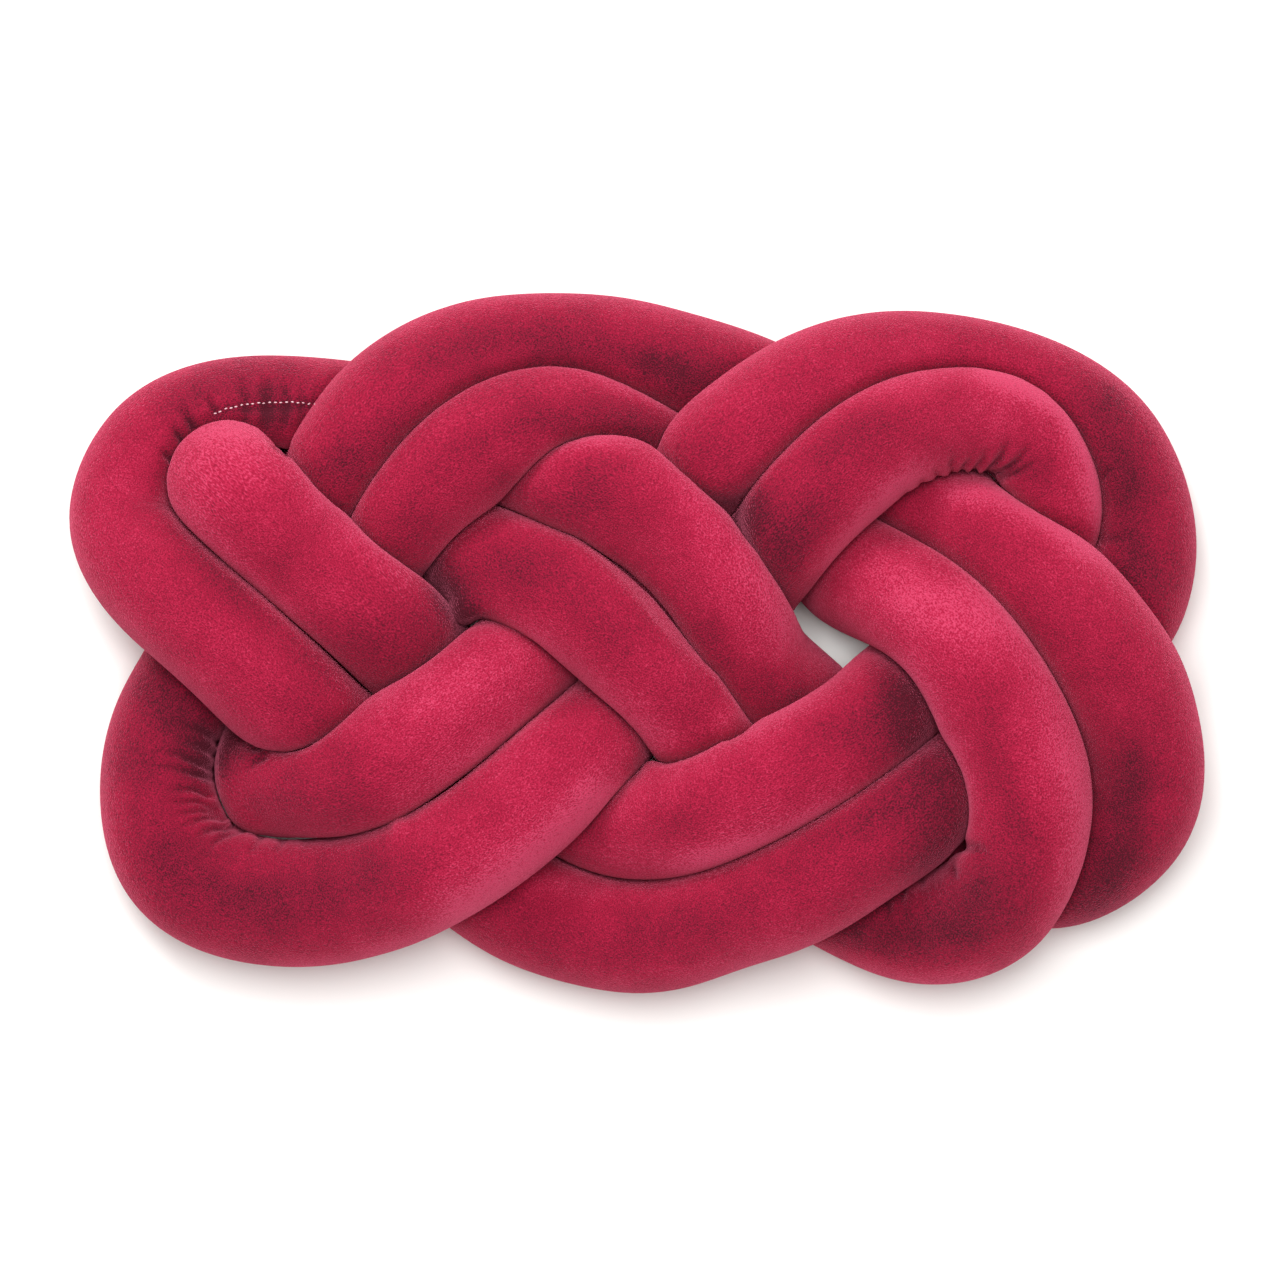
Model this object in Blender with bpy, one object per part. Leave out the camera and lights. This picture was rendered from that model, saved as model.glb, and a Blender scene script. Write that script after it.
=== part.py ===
"""Knot cushion: one long stuffed tube of short-pile plush, its ends sewn together, laid double
and tied into a flat eight-looped knot of 650 x 400 mm.

The tube's middle line runs through short tables, one for each stretch between two dives under
another stretch. Each row is a place where the tube bends or crosses. The tube is drawn round
that line, pressed flat where it meets the table or another stretch of itself, and pinched on
the inside of its bends. Metres, +Z up, the cushion lying on its back on z = 0.
"""
from collections import namedtuple
from math import pi

import bpy
import numpy as np

MM = 0.001
CLOTH_GAP = 1.6         # left between two stretches that press on each other
LEAST_HEIGHT = 28.0     # of the tube's middle over the table, where it is pressed flattest
FLATTEN = 0.4           # the table presses the lowest of the skin flat over this height
MOST_SWELL = 1.05       # how far a pressed tube swells where it is free
FILL_SHARE = 0.9        # how much of a narrow gap beside a neighbour the soft tube fills
FILL_REACH = 8.0        # the widest gap it reaches into
PINCH = 0.82            # share of a bend's own radius that the inside of the bend may take
MIDDLE = (-0.21, -0.20)  # of the finished cushion over the table, before it is centred
SIDES = 14              # faces around the tube
RINGS = 400             # sections along the tube
BEND_WEIGHT = 26.0      # draws sections together in the bends
CLOSER = 3              # the room for the tube is found this many times closer than its faces
LINE_POINTS = 6000      # the middle line is drawn through this many
EVEN_POINTS = 1500      # its bend is measured at this many, evenly spaced
BEND_SPREAD = 21        # and evened out over this many of them
NEIGHBOUR_STEP = 6.0    # between the points of the line that the room is measured to
SAME_STRETCH = 14.0     # points closer than this along the line don't press on each other
FARTHEST = 110.0        # nor do points farther apart than this
FREE = 1000.0           # the room where nothing is in the way
SWELL_STEPS = 8         # in which the tube's girth is shared out again

PLUSH = (0.434, 0.0144, 0.0612, 1.0)    # raspberry, linear

Stop = namedtuple("Stop", "place x y height radius")

# Each table is one stretch that shows on top, from the dive it comes out of to the next one.
# x and y are in millimetres from the middle of the cushion, height is over the table.
LEFT_OUTER = (
    Stop("out from under top outer", -164, 127, 31, 32.5),
    Stop("along the top", -225, 128.8, 39, 32.5),
    Stop("round the corner", -268, 115, 45, 32.5),
    Stop("down the left end", -291, 70, 56, 32.5),
    Stop("over foot outer", -250, 17, 79, 33.5),
    Stop("over foot inner", -197, -33, 76, 32.5),
    Stop("under foot inner", -150, -76, 33, 32.5),
    Stop("under foot outer", -113, -114, 30, 32.5),
)
BOTTOM_OUTER = (
    Stop("out to the front", -61, -154, 34, 32.5),
    Stop("lowest of the front", -3, -168, 41, 32.5),
    Stop("rising", 49, -156, 59, 32.5),
    Stop("over right inner", 96.5, -134, 76.5, 32.5),
    Stop("over right outer", 146, -102, 76.5, 32.5),
    Stop("under right inner", 208, -57, 34, 32.5),
    Stop("under right outer", 256, -11, 30, 32.5),
)
RIGHT_OUTER = (
    Stop("out to the right end", 282, 30, 37, 32.5),
    Stop("up the right end", 286, 70, 37, 32.5),
    Stop("round the corner", 261.5, 118, 41, 32.5),
    Stop("top of the corner", 209, 146.5, 45, 32.5),
    Stop("back along the top", 150, 154.5, 54, 32.5),
    Stop("over top outer", 87, 136, 74, 32.5),
    Stop("over top inner", 43, 101, 75, 32.5),
    Stop("under middle outer", 2, 55, 33, 32.5),
    Stop("under middle inner", -37, 15, 30, 32.5),
)
FOOT_INNER = (
    Stop("over left inner", -95, -32, 78, 32.5),
    Stop("over left outer", -155, -72, 81, 32.5),
    Stop("end of the loop", -192, -75.5, 56, 32.5),
    Stop("tucked in", -208.5, -71.5, 39, 32.5),
    Stop("under left outer", -198, -36, 30, 32.5),
    Stop("under left inner", -164, 23, 30, 32.5),
)
TOP_INNER = (
    Stop("over middle inner", -139, 64, 67, 32.5),
    Stop("over middle outer", -99.5, 106.5, 85, 32.5),
    Stop("top of the loop", -41, 126, 69, 32.5),
    Stop("falling", 5, 111, 42, 32.5),
    Stop("under right outer", 45, 91, 30, 32.5),
    Stop("under right loop", 93, 63, 30, 32.5),
)
RIGHT_INNER = (
    Stop("out beside the hole", 138, 35, 54, 32.5),
    Stop("over bottom inner", 179, 3, 82, 33.5),
    Stop("over bottom outer", 207, -42, 83, 36),
    Stop("down the right", 219.5, -90, 81, 35.5),
    Stop("round the corner", 208.5, -139, 63, 35.5),
    Stop("along the front", 173, -160, 45, 34),
    Stop("tucked in", 127, -150, 32, 32.5),
    Stop("under bottom outer", 90, -123, 30, 32.5),
    Stop("under bottom inner", 62, -85, 30, 32.5),
)
MIDDLE_INNER = (
    Stop("out from the front", 31, -41.5, 63, 34),
    Stop("over foot outer", 3, -9, 82, 32.5),
    Stop("over foot inner", -36, 24, 81, 32.5),
    Stop("end of the stretch", -75, 43, 64, 32.5),
    Stop("under top inner", -129, 65, 30, 32.5),
    Stop("under top outer", -176, 88, 29, 32.5),
)
LEFT_INNER = (
    Stop("turning up", -210, 95, 34, 34),
    Stop("doubled back", -236, 95.5, 58, 32.5),
    Stop("up on top", -227.5, 87, 82, 32.5),
    Stop("over foot outer", -192.5, 54.5, 84, 35),
    Stop("over foot inner", -158, 26, 83, 35),
    Stop("under foot inner", -107, -30, 32, 32.5),
    Stop("under foot outer", -55, -77, 30, 32.5),
)
BOTTOM_INNER = (
    Stop("out to the front", -4, -101.5, 50, 32.5),
    Stop("over right inner", 57, -88, 81, 34),
    Stop("over right outer", 114, -59, 81, 32),
    Stop("under right inner", 176, -10, 32, 32.5),
    Stop("under right outer", 214, 30, 30, 32.5),
)
RIGHT_LOOP = (
    Stop("up the right", 237, 79, 50, 32.5),
    Stop("round the corner", 219, 119, 59, 32.5),
    Stop("top of the loop", 175, 128, 69, 32.5),
    Stop("over top outer", 124, 107, 86, 32.5),
    Stop("over top inner", 87, 70, 83, 32.5),
    Stop("under middle outer", 53, 23, 34, 32.5),
    Stop("under middle inner", 15, -18, 30, 32.5),
)
FOOT_OUTER = (
    Stop("over left inner", -47, -76, 77, 32.5),
    Stop("over left outer", -103, -119.5, 83, 33.5),
    Stop("falling", -155, -143, 63, 35),
    Stop("lowest of the loop", -210, -149, 50, 36),
    Stop("round the corner", -260, -128, 43, 35),
    Stop("up the left end", -275, -79, 39, 32.5),
    Stop("under left outer", -250, -15, 30, 32.5),
    Stop("under left inner", -210, 44, 30, 32.5),
)
TOP_OUTER = (
    Stop("over middle inner", -174, 87, 61, 32.5),
    Stop("over middle outer", -145.5, 129, 75, 32.5),
    Stop("rising", -99, 157, 62, 32.5),
    Stop("highest of the top", -44, 166, 48, 32.5),
    Stop("falling", 18, 157, 38, 32.5),
    Stop("under right outer", 77, 136, 30, 32.5),
    Stop("under right loop", 131, 103, 30, 32.5),
)
FAR_RIGHT = (
    Stop("out from under", 185, 69, 48, 32.5),
    Stop("over right loop", 225, 40, 72, 32.5),
    Stop("over right outer", 264, -2, 76, 32.5),
    Stop("down the right end", 288.5, -55.5, 63, 32.5),
    Stop("round the corner", 284, -103, 48, 32.5),
    Stop("tucked in", 248, -129, 34, 32.5),
    Stop("under right inner", 202, -122, 30, 32.5),
    Stop("under bottom outer", 150, -97, 30, 32.5),
    Stop("under bottom inner", 108, -54, 30, 32.5),
)
MIDDLE_OUTER = (
    Stop("out beside the hole", 64, -10, 60, 32),
    Stop("over foot outer", 51, 29, 81, 32),
    Stop("over foot inner", 14, 73, 83, 32.5),
    Stop("end of the stretch", -28, 91, 80, 33),
    Stop("under top inner", -92, 114, 30, 32.5),
)
ROUTE = (
    LEFT_OUTER + BOTTOM_OUTER + RIGHT_OUTER + FOOT_INNER + TOP_INNER + RIGHT_INNER
    + MIDDLE_INNER + LEFT_INNER + BOTTOM_INNER + RIGHT_LOOP + FOOT_OUTER + TOP_OUTER
    + FAR_RIGHT + MIDDLE_OUTER
)


def closed_spline(knots, count):
    """A smooth closed curve through every row of knots, cut into count rows."""
    lengths = np.linalg.norm(np.roll(knots[:, :3], -1, 0) - knots[:, :3], axis=1)
    starts = np.concatenate([[0.0], np.cumsum(lengths)[:-1]])
    size = len(knots)
    matrix = np.zeros((size, size))
    pull = np.zeros_like(knots)
    for i in range(size):
        before, after = lengths[i - 1], lengths[i]
        matrix[i, i - 1] += before
        matrix[i, i] += 2 * (before + after)
        matrix[i, (i + 1) % size] += after
        rise = (knots[(i + 1) % size] - knots[i]) / after
        pull[i] = 6 * (rise - (knots[i] - knots[i - 1]) / before)
    bend = np.linalg.solve(matrix, pull)
    at = np.linspace(0.0, lengths.sum(), count, endpoint=False)
    i = np.searchsorted(starts, at, side="right") - 1
    j = (i + 1) % size
    span = lengths[i][:, None]
    back = (at - starts[i])[:, None]
    ahead = span - back
    curve = (bend[i] * ahead ** 3 + bend[j] * back ** 3) / (6 * span)
    curve += (knots[i] / span - bend[i] * span / 6) * ahead
    return curve + (knots[j] / span - bend[j] * span / 6) * back


def spaced(line, places):
    """The rows of a closed line at these shares of its length, which run from 0 to 1."""
    steps = np.linalg.norm(np.roll(line[:, :3], -1, 0) - line[:, :3], axis=1)
    along = np.concatenate([[0.0], np.cumsum(steps)])
    looped = np.vstack([line, line[:1]])
    at = places * along[-1]
    rows = [np.interp(at, along, looped[:, k]) for k in range(line.shape[1])]
    return np.column_stack(rows), at, along[-1]


def directions(line):
    """The unit tangent of a closed line at each of its rows, and its bend in 1/mm."""
    ahead = np.roll(line, -1, 0) - line
    step = np.linalg.norm(ahead, axis=1)[:, None]
    ahead = ahead / step
    behind = np.roll(ahead, 1, 0)
    tangent = ahead + behind
    tangent = tangent / np.linalg.norm(tangent, axis=1)[:, None]
    bend = (ahead - behind) * 2 / (step + np.roll(step, 1, 0))
    return tangent, bend


def sections(line):
    """Two unit vectors square to the tube at each row, turned as little as can be on the way."""
    tangent, _ = directions(line)
    side = np.zeros_like(line)
    side[0] = np.cross(tangent[0], (0.0, 0.0, 1.0))
    side[0] /= np.linalg.norm(side[0])
    for i in range(1, len(line)):
        turned = side[i - 1] - tangent[i] * np.dot(side[i - 1], tangent[i])
        side[i] = turned / np.linalg.norm(turned)
    up = np.cross(side, tangent)
    last = side[-1] - tangent[0] * np.dot(side[-1], tangent[0])
    twist = np.arctan2(np.dot(last, up[0]), np.dot(last, side[0]))
    share = (-twist * np.arange(len(line)) / len(line))[:, None]
    return side * np.cos(share) + up * np.sin(share), up * np.cos(share) - side * np.sin(share)


def room(line, at, length, out):
    """How far the tube can reach from its middle line in each direction, in mm: halfway to any
    other stretch, and less than the bend's own radius on its inside."""
    _, bend = directions(line)
    others, other_at, _ = spaced(line, np.arange(0.0, 1.0, NEIGHBOUR_STEP / length))
    limit = np.full(out.shape[:2], FREE)
    for i in range(len(line)):
        away = others - line[i]
        far = np.linalg.norm(away, axis=1)
        apart = np.abs(other_at - at[i])
        apart = np.minimum(apart, length - apart)
        near = (apart > SAME_STRETCH) & (far < FARTHEST)
        toward = out[i] @ away[near].T
        half = far[near] * (far[near] - CLOTH_GAP) / 2
        walls = np.where(toward > 0.001, half / np.maximum(toward, 0.001), FREE)
        limit[i] = walls.min(axis=1)
    inward = np.einsum("nmk,nk->nm", out, bend)
    inside = np.where(inward > 0.001, PINCH / np.maximum(inward, 0.001), FREE)
    return np.minimum(limit, inside)


def girth(line, out, reach):
    """How far it is round each section, in mm."""
    skin = line[:, None] + out * reach[:, :, None]
    return np.linalg.norm(np.roll(skin, -1, 1) - skin, axis=2).sum(axis=1)


def stuffed_tube(rings, sides):
    """The tube's skin as a grid of points, one row of the grid for each section."""
    knots = np.array([stop[1:] for stop in ROUTE], float)
    smooth = closed_spline(knots, LINE_POINTS)
    smooth[:, 2] = np.maximum(smooth[:, 2], LEAST_HEIGHT)
    even, _, _ = spaced(smooth, np.linspace(0.0, 1.0, EVEN_POINTS, endpoint=False))
    _, bend = directions(even[:, :3])
    crowding = 1.0 + BEND_WEIGHT * np.linalg.norm(bend, axis=1)
    spread = np.ones(BEND_SPREAD) / BEND_SPREAD
    crowding = np.convolve(np.tile(crowding, 3), spread, "same")[EVEN_POINTS:2 * EVEN_POINTS]
    total = np.concatenate([[0.0], np.cumsum(crowding)])
    close = rings * CLOSER
    shares = np.linspace(0.0, 1.0, EVEN_POINTS + 1)
    places = np.interp(np.arange(close) / close, total / total[-1], shares)
    row, at, length = spaced(smooth, places)
    line, radius = row[:, :3], row[:, 3:4]
    side, up = sections(line)
    turn = 2 * pi * np.arange(sides * CLOSER) / (sides * CLOSER)
    out = side[:, None] * np.cos(turn)[None, :, None] + up[:, None] * np.sin(turn)[None, :, None]
    limit = room(line, at, length, out)
    for axis in (0, 1):
        limit = np.minimum(limit, np.minimum(np.roll(limit, 1, axis), np.roll(limit, -1, axis)))
    line, radius = line[::CLOSER], radius[::CLOSER]
    out, limit = out[::CLOSER, ::CLOSER], limit[::CLOSER, ::CLOSER]
    limit = np.minimum(limit, line[:, 2:3] / np.maximum(-out[:, :, 2], 0.001))
    sleeve = 2 * sides * np.sin(pi / sides) * radius[:, 0]
    swell = np.ones(rings)
    for _ in range(SWELL_STEPS):
        reach = np.minimum(radius * swell[:, None], limit)
        swell = np.clip(swell * sleeve / girth(line, out, reach), 0.95, MOST_SWELL)
        swell = (np.roll(swell, 1) + 2 * swell + np.roll(swell, -1)) / 4
    free = radius * swell[:, None]
    gap = np.maximum(limit - free, 0.0)
    reach = np.minimum(free + FILL_SHARE * gap * np.exp(-((gap / FILL_REACH) ** 2)), limit)
    soft = (np.roll(reach, 1, 1) + 2 * reach + np.roll(reach, -1, 1)) / 4
    reach = np.minimum(soft, limit)
    skin = line[:, None] + out * reach[:, :, None]
    skin[:, :, 2] = np.where(skin[:, :, 2] < FLATTEN, 0.0, skin[:, :, 2])
    skin[:, :, :2] -= MIDDLE
    return skin


def plush(name, colour):
    """The tube's one material."""
    material = bpy.data.materials.new(name)
    material.use_nodes = True
    shader = material.node_tree.nodes["Principled BSDF"]
    shader.inputs["Base Color"].default_value = colour
    shader.inputs["Roughness"].default_value = 0.9
    shader.inputs["Metallic"].default_value = 0.0
    return material


def closed_tube(name, skin, material):
    """A mesh object from a grid of points whose rows and columns both close on themselves."""
    rings, sides, _ = skin.shape
    points = [tuple(point) for point in skin.reshape(-1, 3) * MM]
    faces = []
    for i in range(rings):
        for j in range(sides):
            a = i * sides + j
            b = i * sides + (j + 1) % sides
            c = (i + 1) % rings * sides + (j + 1) % sides
            d = (i + 1) % rings * sides + j
            faces.append((a, d, b))
            faces.append((b, d, c))
    mesh = bpy.data.meshes.new(name)
    mesh.from_pydata(points, [], faces)
    mesh.polygons.foreach_set("use_smooth", [True] * len(mesh.polygons))
    mesh.materials.append(material)
    mesh.update()
    tube = bpy.data.objects.new(name, mesh)
    bpy.context.collection.objects.link(tube)
    return tube


def main():
    for old in list(bpy.data.objects):
        bpy.data.objects.remove(old, do_unlink=True)
    skin = stuffed_tube(RINGS, SIDES)
    closed_tube("knot_tube", skin, plush("raspberry_plush", PLUSH))


main()
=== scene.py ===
"""Knot cushion: one long stuffed sleeve of short-pile plush, laid double and knotted flat.

The sleeve follows the same middle line as its solid and gets a finer skin: pressed flat where it
meets the table or itself, gathered on the inside of its tight bends and along the hand-closed
seam, and with its pile's nap left in soft patches. Its colour also holds painted shade between
stretches, in creases and where it lies low, and painted highlight on its flanks and where it lies
high. Lengths in the tables are in millimetres.
"""

import logging
import math
from dataclasses import dataclass, field
from enum import Enum
from typing import NamedTuple

import bpy
import numpy as np
from mathutils import Matrix, Vector


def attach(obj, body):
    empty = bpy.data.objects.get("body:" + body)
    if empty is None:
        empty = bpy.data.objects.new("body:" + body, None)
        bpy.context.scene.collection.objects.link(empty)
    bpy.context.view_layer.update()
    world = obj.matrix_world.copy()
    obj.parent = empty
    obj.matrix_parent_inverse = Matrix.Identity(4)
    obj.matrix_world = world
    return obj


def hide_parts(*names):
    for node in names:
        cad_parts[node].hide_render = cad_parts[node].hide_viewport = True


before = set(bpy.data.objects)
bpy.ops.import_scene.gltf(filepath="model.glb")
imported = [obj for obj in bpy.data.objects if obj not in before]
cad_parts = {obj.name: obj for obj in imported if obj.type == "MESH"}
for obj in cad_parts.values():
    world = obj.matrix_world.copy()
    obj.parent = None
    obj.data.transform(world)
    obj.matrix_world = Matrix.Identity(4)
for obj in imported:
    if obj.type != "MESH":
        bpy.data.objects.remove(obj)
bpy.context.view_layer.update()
LOG = logging.getLogger("knot_cushion")

MM = 0.001
EYE_HEIGHT = 4000.0     # of the camera over the table
TRUE_LEVEL = 45.0       # height over the table at which the photograph's scale is true
IMAGE_SIDE = 731.8      # of the photograph at that height
IMAGE_MIDDLE = (1.9, 1.3)
NOTHING_NEAR = 1000.0   # the reach where nothing is in the way
LEAST_FACING = 0.001    # a direction that faces a wall by a smaller share never meets it


class Stop(NamedTuple):
    """A place on the sleeve's middle line: x and y from the middle of the cushion, height over
    the table, and the sleeve's radius where nothing presses on it."""

    place: str
    x: float
    y: float
    height: float
    radius: float = 32.5


class Stretch(Enum):
    """The fourteen stretches of sleeve between two dives, in the order that they follow."""

    LEFT_OUTER = 0
    BOTTOM_OUTER = 1
    RIGHT_OUTER = 2
    FOOT_INNER = 3
    TOP_INNER = 4
    RIGHT_INNER = 5
    MIDDLE_INNER = 6
    LEFT_INNER = 7
    BOTTOM_INNER = 8
    RIGHT_LOOP = 9
    FOOT_OUTER = 10
    TOP_OUTER = 11
    FAR_RIGHT = 12
    MIDDLE_OUTER = 13


ROUTE: dict[Stretch, tuple[Stop, ...]] = {
    Stretch.LEFT_OUTER: (
        Stop("out from under top outer", -164, 127, 31),
        Stop("along the top", -225, 128.8, 39),
        Stop("round the corner", -268, 115, 45),
        Stop("down the left end", -291, 70, 56),
        Stop("over foot outer", -250, 17, 79, 33.5),
        Stop("over foot inner", -197, -33, 76),
        Stop("under foot inner", -150, -76, 33),
        Stop("under foot outer", -113, -114, 30),
    ),
    Stretch.BOTTOM_OUTER: (
        Stop("out to the front", -61, -154, 34),
        Stop("lowest of the front", -3, -168, 41),
        Stop("rising", 49, -156, 59),
        Stop("over right inner", 96.5, -134, 76.5),
        Stop("over right outer", 146, -102, 76.5),
        Stop("under right inner", 208, -57, 34),
        Stop("under right outer", 256, -11, 30),
    ),
    Stretch.RIGHT_OUTER: (
        Stop("out to the right end", 282, 30, 37),
        Stop("up the right end", 286, 70, 37),
        Stop("round the corner", 261.5, 118, 41),
        Stop("top of the corner", 209, 146.5, 45),
        Stop("back along the top", 150, 154.5, 54),
        Stop("over top outer", 87, 136, 74),
        Stop("over top inner", 43, 101, 75),
        Stop("under middle outer", 2, 55, 33),
        Stop("under middle inner", -37, 15, 30),
    ),
    Stretch.FOOT_INNER: (
        Stop("over left inner", -95, -32, 78),
        Stop("over left outer", -155, -72, 81),
        Stop("end of the loop", -192, -75.5, 56),
        Stop("tucked in", -208.5, -71.5, 39),
        Stop("under left outer", -198, -36, 30),
        Stop("under left inner", -164, 23, 30),
    ),
    Stretch.TOP_INNER: (
        Stop("over middle inner", -139, 64, 67),
        Stop("over middle outer", -99.5, 106.5, 85),
        Stop("top of the loop", -41, 126, 69),
        Stop("falling", 5, 111, 42),
        Stop("under right outer", 45, 91, 30),
        Stop("under right loop", 93, 63, 30),
    ),
    Stretch.RIGHT_INNER: (
        Stop("out beside the hole", 138, 35, 54),
        Stop("over bottom inner", 179, 3, 82, 33.5),
        Stop("over bottom outer", 207, -42, 83, 36),
        Stop("down the right", 219.5, -90, 81, 35.5),
        Stop("round the corner", 208.5, -139, 63, 35.5),
        Stop("along the front", 173, -160, 45, 34),
        Stop("tucked in", 127, -150, 32),
        Stop("under bottom outer", 90, -123, 30),
        Stop("under bottom inner", 62, -85, 30),
    ),
    Stretch.MIDDLE_INNER: (
        Stop("out from the front", 31, -41.5, 63, 34),
        Stop("over foot outer", 3, -9, 82),
        Stop("over foot inner", -36, 24, 81),
        Stop("end of the stretch", -75, 43, 64),
        Stop("under top inner", -129, 65, 30),
        Stop("under top outer", -176, 88, 29),
    ),
    Stretch.LEFT_INNER: (
        Stop("turning up", -210, 95, 34, 34),
        Stop("doubled back", -236, 95.5, 58),
        Stop("up on top", -227.5, 87, 82),
        Stop("over foot outer", -192.5, 54.5, 84, 35),
        Stop("over foot inner", -158, 26, 83, 35),
        Stop("under foot inner", -107, -30, 32),
        Stop("under foot outer", -55, -77, 30),
    ),
    Stretch.BOTTOM_INNER: (
        Stop("out to the front", -4, -101.5, 50),
        Stop("over right inner", 57, -88, 81, 34),
        Stop("over right outer", 114, -59, 81, 32),
        Stop("under right inner", 176, -10, 32),
        Stop("under right outer", 214, 30, 30),
    ),
    Stretch.RIGHT_LOOP: (
        Stop("up the right", 237, 79, 50),
        Stop("round the corner", 219, 119, 59),
        Stop("top of the loop", 175, 128, 69),
        Stop("over top outer", 124, 107, 86),
        Stop("over top inner", 87, 70, 83),
        Stop("under middle outer", 53, 23, 34),
        Stop("under middle inner", 15, -18, 30),
    ),
    Stretch.FOOT_OUTER: (
        Stop("over left inner", -47, -76, 77),
        Stop("over left outer", -103, -119.5, 83, 33.5),
        Stop("falling", -155, -143, 63, 35),
        Stop("lowest of the loop", -210, -149, 50, 36),
        Stop("round the corner", -260, -128, 43, 35),
        Stop("up the left end", -275, -79, 39),
        Stop("under left outer", -250, -15, 30),
        Stop("under left inner", -210, 44, 30),
    ),
    Stretch.TOP_OUTER: (
        Stop("over middle inner", -174, 87, 61),
        Stop("over middle outer", -145.5, 129, 75),
        Stop("rising", -99, 157, 62),
        Stop("highest of the top", -44, 166, 48),
        Stop("falling", 18, 157, 38),
        Stop("under right outer", 77, 136, 30),
        Stop("under right loop", 131, 103, 30),
    ),
    Stretch.FAR_RIGHT: (
        Stop("out from under", 185, 69, 48),
        Stop("over right loop", 225, 40, 72),
        Stop("over right outer", 264, -2, 76),
        Stop("down the right end", 288.5, -55.5, 63),
        Stop("round the corner", 284, -103, 48),
        Stop("tucked in", 248, -129, 34),
        Stop("under right inner", 202, -122, 30),
        Stop("under bottom outer", 150, -97, 30),
        Stop("under bottom inner", 108, -54, 30),
    ),
    Stretch.MIDDLE_OUTER: (
        Stop("out beside the hole", 64, -10, 60, 32),
        Stop("over foot outer", 51, 29, 81, 32),
        Stop("over foot inner", 14, 73, 83),
        Stop("end of the stretch", -28, 91, 80, 33),
        Stop("under top inner", -92, 114, 30),
    ),
}


class Fold(Enum):
    """How a crease runs: from a deep end that fades, or soft at both ends. A swell is soft and
    too broad to look like a crease, so no painted shade is put on the pile there."""

    GATHER = "deep at its first point"
    DENT = "soft at both ends"
    SWELL = "soft at both ends, and unshaded"


class Crease(NamedTuple):
    """A trough in the cloth, or a ridge where its depth is negative. Its path is as the camera
    sees it, in mm at the height where the photograph's scale is true."""

    stretch: Stretch
    fold: Fold
    width: float
    depth: float
    path: list[tuple[float, float]]


def creases_of(stretch: Stretch, fold: Fold, *rows: tuple) -> list[Crease]:
    """Names the columns of one table of creases: width, depth, and the points of the path."""
    return [Crease(stretch, fold, width, depth, path) for width, depth, *path in rows]


# Every crease but a swell also darkens the pile with painted shade.
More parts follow.
